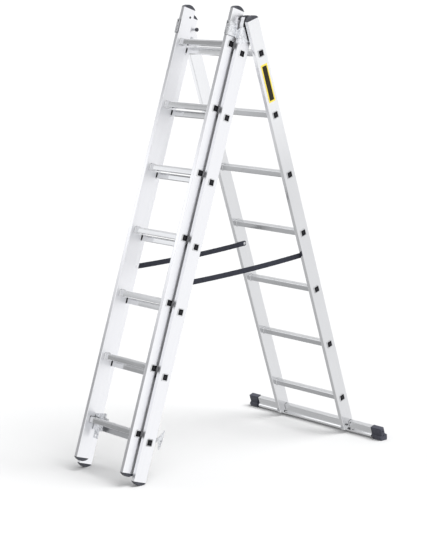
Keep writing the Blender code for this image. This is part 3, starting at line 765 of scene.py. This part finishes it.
for label, side in SIDES:
    bm = bmesh.new()
    folded_sheet(bm, eased(eased(GUIDE_PATH, 0.2), 0.25), PLATE, side)
    span = sorted((side * 0.185, side * 0.205))
    for y, z, r in ((HINGE_IN, HINGE_Z, PIN_R + GAP), (BOLT_Y, BOLT_Z, 0.004 + GAP)):
        cutter = bmesh.new()
        x_hole(cutter, r, y, z, span[0], span[1])
        bm = combine(bm, cutter, "DIFFERENCE")
    cutter = bmesh.new()                                  # locking hole near the top of the lip
    prism(cutter, disc(0.0036, 20, (side * 0.1575, 1.790)), "y", LIP_Y - 0.01, LIP_Y + 0.001)
    bm = combine(bm, cutter, "DIFFERENCE")
    bm.normal_update()
    for face in bm.faces:                                 # painted shade: the lip gets a darker copy of the galvanised steel
        face.material_index = int(face.calc_center_median().y < LIP_Y + 0.001)
    obj = piece(f"guide_bracket_{label}_bent", bm, M_MIDDLE, GALVANISED, "middle_section", [f"guide_bracket_{label}"], 30.0)
    obj.data.materials.append(GALVANISED_LIP_SHADE)

    plate_out, inner = MIDDLE_OUT + PLATE, W_MIDDLE / 2 - RAIL_T
    centre = (BOLT_Y, BOLT_Z)
    bm = bmesh.new()
    turned(bm, "x", centre, [(side * x, r) for x, r in (
        (plate_out + 0.0023, 0.0046), (plate_out + 0.0020, 0.0060), (plate_out + 0.0012, 0.0069), (plate_out + 0.0001, 0.0071),
        (plate_out + 0.0001, 0.0040), (inner - 0.0002, 0.0040), (inner - 0.0002, 0.0050), (inner - 0.0175, 0.0050),
        (inner - 0.0175, 0.0030), (inner - 0.0200, 0.0030),
    )])
    piece(f"bracket_bolt_{label}_turned", bm, M_MIDDLE, ZINC, "middle_section", [f"bracket_bolt_{label}"], 35.0)
    bm = bmesh.new()
    turned(bm, "x", centre, [(side * x, r) for x, r in (
        (inner - 0.0178, 0.0080), (inner - 0.0184, 0.0088), (inner - 0.0230, 0.0090), (inner - 0.0248, 0.0084), (inner - 0.0258, 0.0070),
        (inner - 0.0260, 0.0052), (inner - 0.0252, 0.0046), (inner - 0.0252, 0.0030),
    )])
    piece(f"bracket_nut_{label}_moulded", bm, M_MIDDLE, PLASTIC, "middle_section", (), 35.0)

    rear_in = W_REAR / 2 - RAIL_T
    bm = bmesh.new()
    turned(bm, "x", (HINGE_IN, HINGE_Z), [(side * x, r) for x, r in (
        (inner - 0.0034, 0.0050), (inner - 0.0032, 0.0066), (inner - 0.0022, 0.0077), (inner - GAP, 0.0080), (inner - GAP, PIN_R),
        (plate_out + 0.0004, PIN_R), (plate_out + 0.0004, 0.0062), (rear_in - 0.0004, 0.0062), (rear_in - 0.0004, PIN_R),
        (rear_in + RAIL_WALL + GAP, PIN_R), (rear_in + RAIL_WALL + GAP, 0.0064), (rear_in + RAIL_WALL + 0.0045, 0.0064), (rear_in + RAIL_WALL + 0.005, 0.0058),
    )])
    piece(f"hinge_pin_{label}_turned", bm, M_MIDDLE, ZINC, "middle_section", [f"hinge_pin_{label}"], 35.0)


# ---------------------------------------------------------------- rung hook behind the bottom rung, right side
back = RUNG_HALF + 0.0004
x_out = W_MIDDLE / 2 - RAIL_T - 0.0022
blade = smooth_closed([
    (back + 0.001, -0.0110), (0.034, -0.006), (0.055, 0.003), (0.067, 0.0055), (0.0725, -0.004), (0.077, -0.019),
    (0.0808, -0.0268), (0.0850, -0.0205), (0.0882, -0.006), (0.0902, 0.014), (0.0912, 0.034), (0.0915, 0.0575),
    (0.0885, 0.0570), (0.081, 0.044), (0.070, 0.031), (0.056, 0.022), (0.034, 0.016), (back + 0.001, 0.0112),
], 4)
bm = bmesh.new()
prism(bm, blade, "x", x_out - 0.0038, x_out - 0.0002)
soften(bm, 0.0007, 2, 50.0)
flange = bmesh.new()
prism(flange, rounded_rect(0.0164, 0.0110, 0.003, 4, x_out - 0.0175, 0.0), "y", back, back + 0.003)
soften(flange, 0.0005, 2, 50.0)
bm = combine(bm, flange, "UNION")
rivets = bmesh.new()
for x in (x_out - 0.012, x_out - 0.025):
    turned(rivets, "y", (x, 0.0), [(back + 0.0010, 0.0034), (back + 0.0032, 0.0034), (back + 0.0042, 0.0029), (back + 0.0050, 0.0016), (back + 0.0052, 0.0004)], 16)
bm = combine(bm, rivets, "UNION")
piece("rung_hook_blade", bm, M_MIDDLE, GALVANISED_PLATE, "middle_section", ["rung_hook"], 35.0)


# ---------------------------------------------------------------- stop brackets on the front section's bottom rung
for label, side in SIDES:
    half = RUNG_HALF + 0.0004
    sheet = 0.003
    x_rail = W_FRONT / 2 - RAIL_T - 0.0006
    if side < 0:
        upper = [(x_rail, 0.0290), (0.0860, 0.0399), (0.0825, 0.0398), (0.0790, 0.0385), (0.0767, 0.0355), (0.0757, 0.0310), (0.0750, 0.0225),
                 (0.0735, 0.0208), (0.0590, 0.0205), (0.0575, 0.0197), (0.0570, 0.0180), (0.0570, 0.0000), (0.0810, 0.0000)]
    else:
        upper = [(x_rail, 0.0290), (0.1050, 0.0330), (0.1015, 0.0325), (0.0985, 0.0300), (0.0970, 0.0250), (0.0970, 0.0000)]
    lower = 0.0810 if side < 0 else 0.0970
    plate = [(x_rail, -0.0400)] + upper + [
        (lower, -0.0340), (lower + 0.0012, -0.0380), (lower + 0.0050, -0.0400), (0.0985, -0.0400), (0.0985, -0.0695), (0.0997, -0.0732),
        (0.1030, -0.0745), (0.1240, -0.0745), (0.1273, -0.0732), (0.1285, -0.0695), (0.1285, -0.0400),
    ]
    bm = bmesh.new()
    prism(bm, mirrored(plate, side), "y", half, half + sheet)
    soften(bm, 0.0006, 2, 60.0)
    other = bmesh.new()
    prism(other, disc(0.0060, 24, (side * 0.1150, -0.0630)), "y", half - 0.01, half + 0.01)
    bm = combine(bm, other, "DIFFERENCE")
    other = bmesh.new()
    for x in (0.1330, 0.1060):                            # rivets into the rung
        turned(other, "y", (side * x, 0.0), [(half + 0.0015, 0.0036), (half + sheet + 0.0003, 0.0036), (half + sheet + 0.0012, 0.0030), (half + sheet + 0.0018, 0.0016), (half + sheet + 0.0019, 0.0004)], 16)
    bm = combine(bm, other, "UNION")
    piece(f"stop_bracket_{label}_bent", bm, M_FRONT, GALVANISED_PLATE, "front_section", [f"stop_bracket_{label}"], 35.0)


# ---------------------------------------------------------------- stabiliser bar, its caps and bolts
def bar_outline(grow, top, bottom, extra=0.0):
    """Bell-shaped section: upright walls that flare into a rounded foot."""
    t, f = BAR_HALF_TOP + grow, BAR_HALF_FOOT + grow
    right = []
    for i in range(4):
        a = math.radians(90.0 - 90.0 * i / 3)
        right.append((t - 0.002 + 0.002 * math.cos(a), top - 0.002 + 0.002 * math.sin(a)))
    right += [(t, -0.1610), (t + 0.0010, -0.1636), (t + 0.0032, -0.1657), (f - 0.0030, -0.1676), (f - 0.0010, -0.1692), (f, -0.1720)]
    drop = -0.172 - bottom
    for i in range(1, 9):
        a = math.pi / 2 * i / 8
        right.append((f - 0.010 * (1 - math.cos(a)), -0.172 - drop * math.sin(a)))
    return [(BAR_Y + a, b) for a, b in right] + [(BAR_Y - a, b) for a, b in reversed(right)]


bm = bmesh.new()
tube(
    bm,
    [along("x", BAR_X + x, bar_outline(g, BAR_TOP + g, BAR_BOTTOM - g)) for x, g in ((-BAR_HALF, -0.0004), (-BAR_HALF + 0.0006, 0.0), (BAR_HALF - 0.0006, 0.0), (BAR_HALF, -0.0004))],
    [along("x", BAR_X + x, bar_outline(-BAR_WALL, BAR_TOP - BAR_WALL, BAR_BOTTOM + BAR_WALL)) for x in (-BAR_HALF, BAR_HALF)],
)
cutter = bmesh.new()
for label, side in SIDES:
    prism(cutter, disc(0.0035 + GAP, 20, (side * (W_REAR / 2 - RAIL_T / 2), BAR_BOLT_Z)), "y", -0.03, BAR_Y)
bm = combine(bm, cutter, "DIFFERENCE")
piece("stabiliser_bar_extrusion", bm, M_REAR, ALU_BAR, "rear_section", ["stabiliser_bar"], 35.0)

for label, side in SIDES:
    # The mouth is cut in a shallow curve, so that the top and the foot reach further along the bar.
    rings = []
    lip = 0.0016
    mouth = BAR_HALF + GAP

    def cap_ring(x, grow, curve):
        ring = []
        for y, z in bar_outline(grow, BAR_TOP + grow, -0.197):
            height = (z + 0.160) / 0.030
            reach = curve * (1.0 - max(0.0, 1.0 - height * height))
            ring.append((BAR_X + side * (x - min(reach, curve)), y, z))
        return ring

    for x, grow, curve in (
        (mouth + 0.012, lip - 0.0006, 0.010), (mouth + 0.0124, lip, 0.010), (mouth + 0.030, lip, 0.0), (BAR_END - 0.0040, lip, 0.0),
        (BAR_END - 0.0016, lip - 0.0008, 0.0), (BAR_END - 0.0003, lip - 0.0026, 0.0), (BAR_END, lip - 0.0046, 0.0),
    ):
        rings.append(cap_ring(x, grow, curve))
    bm = bmesh.new()
    loft(bm, rings)
    plug = bmesh.new()
    shrink = -BAR_WALL - GAP
    span = sorted((BAR_X + side * (BAR_HALF - 0.028), BAR_X + side * (BAR_HALF + 0.020)))
    prism(plug, bar_outline(shrink, BAR_TOP + shrink, BAR_BOTTOM - shrink), "x", span[0], span[1])
    bm = combine(bm, plug, "UNION")
    cutter = bmesh.new()
    span = sorted((BAR_X + side * (BAR_END - 0.004), BAR_X + side * (BAR_END + 0.01)))
    for z in (-0.146, -0.166):
        prism(cutter, disc(0.0032, 16, (BAR_Y, z)), "x", span[0], span[1])
    bm = combine(bm, cutter, "DIFFERENCE")
    piece(f"stabiliser_cap_{label}_moulding", bm, M_REAR, BAR_PLASTIC, "rear_section", [f"stabiliser_cap_{label}"], 40.0, floor=True)

    face = -RAIL_D / 2
    centre = (side * (W_REAR / 2 - RAIL_T / 2), BAR_BOLT_Z)
    bm = bmesh.new()
    front = BAR_Y - BAR_HALF_TOP
    rings = [
        along("y", face - 0.0043, disc(0.0040, 24, centre)), along("y", face - 0.0041, disc(0.0052, 24, centre)),
    ]
    hexagon = []
    for i in range(24):
        a = 2 * math.pi * i / 24
        edge = math.cos(math.pi / 6) / math.cos((a % (math.pi / 3)) - math.pi / 6)
        hexagon.append((centre[0] + 0.0060 * edge * math.cos(a), centre[1] + 0.0060 * edge * math.sin(a)))
    rings += [along("y", face - 0.0037, hexagon), along("y", face - 0.0013, hexagon)]
    rings += [along("y", face - 0.0013, disc(0.0064, 24, centre)), along("y", face - 0.0003, disc(0.0066, 24, centre)),
              along("y", face - 0.0003, disc(0.0035, 24, centre)), along("y", front + 0.006, disc(0.0035, 24, centre))]
    loft(bm, rings)
    piece(f"stabiliser_bolt_{label}_hex", bm, M_REAR, ZINC, "rear_section", [f"stabiliser_bolt_{label}"], 30.0)


# ---------------------------------------------------------------- opening straps and their rivets
for label, side in SIDES:
    middle_in, rear_in = W_MIDDLE / 2 - RAIL_T, W_REAR / 2 - RAIL_T
    x_mid = middle_in + RAIL_WALL + 3 * GAP + STRAP_T / 2
    x_rear = rear_in - 0.0015
    a = M_MIDDLE @ Vector((side * x_mid, STRAP_Y_MID, STRAP_Z_MID[side]))
    b = M_REAR @ Vector((side * x_rear, STRAP_Y_REAR, STRAP_Z_REAR))
    run = (b - a).normalized()
    across = Vector((1.0, 0.0, 0.0))
    across = (across - run * across.dot(run)).normalized()
    up = across.cross(run)
    if up.z < 0:
        up.negate()
    normal = run.cross(up)
    length, tail = (b - a).length, 0.010
    ribs = 9
    line = []
    for k in range(ribs * 2 + 1):                                     # one face, rib by rib
        w = -STRAP_W / 2 + STRAP_W * k / (ribs * 2)
        line.append((w, STRAP_T / 2 - (0.00018 if k % 2 == 0 else 0.0)))
    for k in range(ribs * 2 + 1):
        w = STRAP_W / 2 - STRAP_W * k / (ribs * 2)
        line.append((w, -STRAP_T / 2 + (0.00018 if k % 2 == 0 else 0.0)))
    rings = []
    count = 72
    ends = [(-tail, 0.55), (-tail + 0.0012, 0.80), (-tail + 0.0035, 0.96), (-tail + 0.006, 1.0)]
    stations = ends + [(-tail + 0.006 + (length + 2 * tail - 0.012) * i / count, 1.0) for i in range(1, count)]
    stations += [(length - s, share) for s, share in reversed(ends)]
    for s, share in stations:
        t = min(1.0, max(0.0, s / length))
        drop = 4 * STRAP_SAG * t * (1 - t)
        rings.append([a + run * s + up * (w * share - drop) + normal * q for w, q in line])
    bm = bmesh.new()
    loft(bm, rings)
    strap = piece(f"opening_strap_{label}_webbing", bm, Matrix.Identity(4), WEBBING, None, [f"opening_strap_{label}"], 60.0)
    strap.modifiers.clear()
    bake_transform(strap)

    inside = x_mid + STRAP_T / 2 + 0.0003
    head = x_rear - STRAP_T / 2 - 0.0002
    for end, place, body, y, z, steps in (
        ("middle", M_MIDDLE, "middle_section", STRAP_Y_MID, STRAP_Z_MID[side], (
            (middle_in - 0.0013, 0.0010), (middle_in - 0.0012, 0.0026), (middle_in - 0.0008, 0.0039), (middle_in - GAP, 0.0045),
            (middle_in - GAP, 0.0030), (inside, 0.0030), (inside, 0.0045), (inside + 0.0012, 0.0045), (inside + 0.0014, 0.0040))),
        ("rear", M_REAR, "rear_section", STRAP_Y_REAR, STRAP_Z_REAR, (
            (head - 0.0008, 0.0012), (head - 0.0013, 0.0016), (head - 0.0018, 0.0026), (head - 0.0015, 0.0040), (head - 0.0008, 0.0048),
            (head - 0.0007, 0.0062), (head - 0.0003, 0.0066), (head, 0.0065), (head, 0.0030), (rear_in + RAIL_WALL + 0.0012, 0.0030))),
    ):
        bm = bmesh.new()
        turned(bm, "x", (y, z), [(side * p, r) for p, r in steps], 24)
        piece(f"strap_rivet_{end}_{label}_domed", bm, place, ALU_LEG if end == "middle" else ZINC, body, [f"strap_rivet_{end}_{label}"], 35.0)


# ---------------------------------------------------------------- plain sticker on the rear section's right rail
bm = bmesh.new()
face = W_REAR / 2
outline = rounded_rect(0.0195, 0.085, 0.003, 4, 0.0, 1.545)
prism(bm, outline, "x", face + 0.0001, face + 0.0005)
piece("rear_rail_sticker", bm, M_REAR, STICKER, "rear_section")
bm = bmesh.new()
outline = rounded_rect(0.0130, 0.0775, 0.0015, 4, 0.0, 1.545)
prism(bm, outline, "x", face + 0.0003, face + 0.0007)
piece("rear_rail_sticker_field", bm, M_REAR, STICKER_INK, "rear_section")


# ---------------------------------------------------------------- floor, light and camera
bm = bmesh.new()
bmesh.ops.create_grid(bm, x_segments=1, y_segments=1, size=500.0)
floor = bpy.data.objects.new("studio_floor", mesh_of(bm, "studio_floor"))
bpy.context.scene.collection.objects.link(floor)
FLOOR_TONE = 0.530
ground = bpy.data.materials.new("studio_floor")
ground.use_nodes = True
shader = ground.node_tree.nodes["Principled BSDF"]
shader.inputs["Base Color"].default_value = (FLOOR_TONE, FLOOR_TONE, FLOOR_TONE, 1.0)
shader.inputs["Roughness"].default_value = 1.0
shader.inputs["Specular IOR Level"].default_value = 0.0
floor.data.materials.append(ground)
floor.visible_glossy = False          # the metal mirrors the studio round the floor, not the floor itself

# A soft studio: bright to the right, darker to the left, with a soft lit band on the left and a softbox overhead.
world = bpy.data.worlds.new("studio")
bpy.context.scene.world = world
world.use_nodes = True
tree = world.node_tree
sky = tree.nodes["Background"]
where = tree.nodes.new("ShaderNodeTexCoord")


SKY = [(0.0, 0.63), (0.06, 0.63), (0.15, 0.38), (0.21, 0.38), (0.29, 0.92), (0.5, 0.94), (0.70, 1.05), (1.0, 1.08)]
BAND = [(0.5, 0.0), (0.596, 0.02), (0.613, 0.52), (0.623, 1.00), (0.651, 1.00), (0.659, 0.50), (0.672, 0.03), (0.75, 0.0)]
LOW_BAND = [(0.0, 0.0), (0.251, 0.0), (0.267, 0.52), (0.30, 0.55), (0.42, 0.0)]
SOFTBOX = [(0.0, 0.0), (0.945, 0.0), (0.985, 0.9), (1.0, 0.9)]


def towards(axis):
    """How far a direction points along an axis, from 0 to 1."""
    dot = tree.nodes.new("ShaderNodeVectorMath")
    dot.operation = "DOT_PRODUCT"
    dot.inputs[1].default_value = Vector(axis).normalized()
    tree.links.new(where.outputs["Generated"], dot.inputs[0])
    span = tree.nodes.new("ShaderNodeMapRange")
    span.inputs["From Min"].default_value = -1.0
    tree.links.new(dot.outputs["Value"], span.inputs["Value"])
    return span.outputs["Result"]


def levels(fac, stops):
    node = tree.nodes.new("ShaderNodeValToRGB")
    ramp = node.color_ramp
    ramp.interpolation = "B_SPLINE" if len(stops) < 4 else "LINEAR"
    while len(ramp.elements) < len(stops):
        ramp.elements.new(0.5)
    for element, (at, level) in zip(ramp.elements, stops):
        element.position = at
        element.color = (level * 0.985, level * 0.99, level, 1.0)
    tree.links.new(fac, node.inputs["Fac"])
    return node.outputs["Color"]


def joined(operation, a, b):
    node = tree.nodes.new("ShaderNodeVectorMath")
    node.operation = operation
    tree.links.new(a, node.inputs[0])
    tree.links.new(b, node.inputs[1])
    return node.outputs["Vector"]


base = levels(towards((0.92, 0.12, 0.37)), SKY)
band = levels(towards((0.0, 0.0, 1.0)), BAND)
mask = levels(towards((-0.75, -0.62, 0.27)), [(0.0, 0.0), (0.93, 0.0), (0.98, 1.0), (1.0, 1.0)])
low_band = levels(towards((0.0, 0.0, 1.0)), LOW_BAND)
low_mask = levels(towards((-0.72, -0.48, -0.50)), [(0.0, 0.0), (0.94, 0.0), (0.98, 1.0), (1.0, 1.0)])
box_light = levels(towards((-0.60, -0.25, 0.76)), SOFTBOX)
glow = joined("ADD", joined("ADD", base, joined("MULTIPLY", band, mask)), joined("ADD", box_light, joined("MULTIPLY", low_band, low_mask)))
tree.links.new(glow, sky.inputs["Color"])
sky.inputs["Strength"].default_value = 1.0

# Seen directly, the backdrop is plain white. The studio shows only in the light and the reflections.
backdrop = tree.nodes.new("ShaderNodeBackground")
backdrop.inputs["Color"].default_value = (1.0, 1.0, 1.0, 1.0)
ray = tree.nodes.new("ShaderNodeLightPath")
choice = tree.nodes.new("ShaderNodeMixShader")
tree.links.new(ray.outputs["Is Camera Ray"], choice.inputs["Fac"])
tree.links.new(sky.outputs["Background"], choice.inputs[1])
tree.links.new(backdrop.outputs["Background"], choice.inputs[2])
tree.links.new(choice.outputs["Shader"], tree.nodes["World Output"].inputs["Surface"])

sun_data = bpy.data.lights.new("key", "SUN")
sun_data.energy = 3.2
sun_data.angle = math.radians(38.0)
sun = bpy.data.objects.new("key", sun_data)
sun.rotation_mode = "QUATERNION"
sun.rotation_quaternion = (-Vector((0.33, 0.24, 0.91))).to_track_quat("-Z", "Y")
sun.visible_glossy = False
bpy.context.scene.collection.objects.link(sun)

bpy.context.scene.view_settings.view_transform = "Standard"
bpy.context.scene.view_settings.look = "None"

camera_data = bpy.data.cameras.new("camera")
camera_data.sensor_fit = "AUTO"
camera_data.sensor_width = 36.0
camera_data.lens = 109.3485
camera = bpy.data.objects.new("camera", camera_data)
bpy.context.scene.collection.objects.link(camera)
azimuth, elevation, roll = math.radians(47.6508), math.radians(10.2205), math.radians(-0.0995)
back_axis = Vector((math.sin(azimuth) * math.cos(elevation), -math.cos(azimuth) * math.cos(elevation), math.sin(elevation)))
right_axis = Vector((math.cos(azimuth), math.sin(azimuth), 0.0))
up_axis = back_axis.cross(right_axis)
rolled_right = right_axis * math.cos(roll) + up_axis * math.sin(roll)
rolled_up = up_axis * math.cos(roll) - right_axis * math.sin(roll)
pose = Matrix((rolled_right, rolled_up, back_axis)).transposed().to_4x4()
pose.translation = Vector((-0.0166 + X_MID, -0.0007, 0.8033)) + back_axis * 7.3199
camera.matrix_world = pose
bpy.context.scene.camera = camera
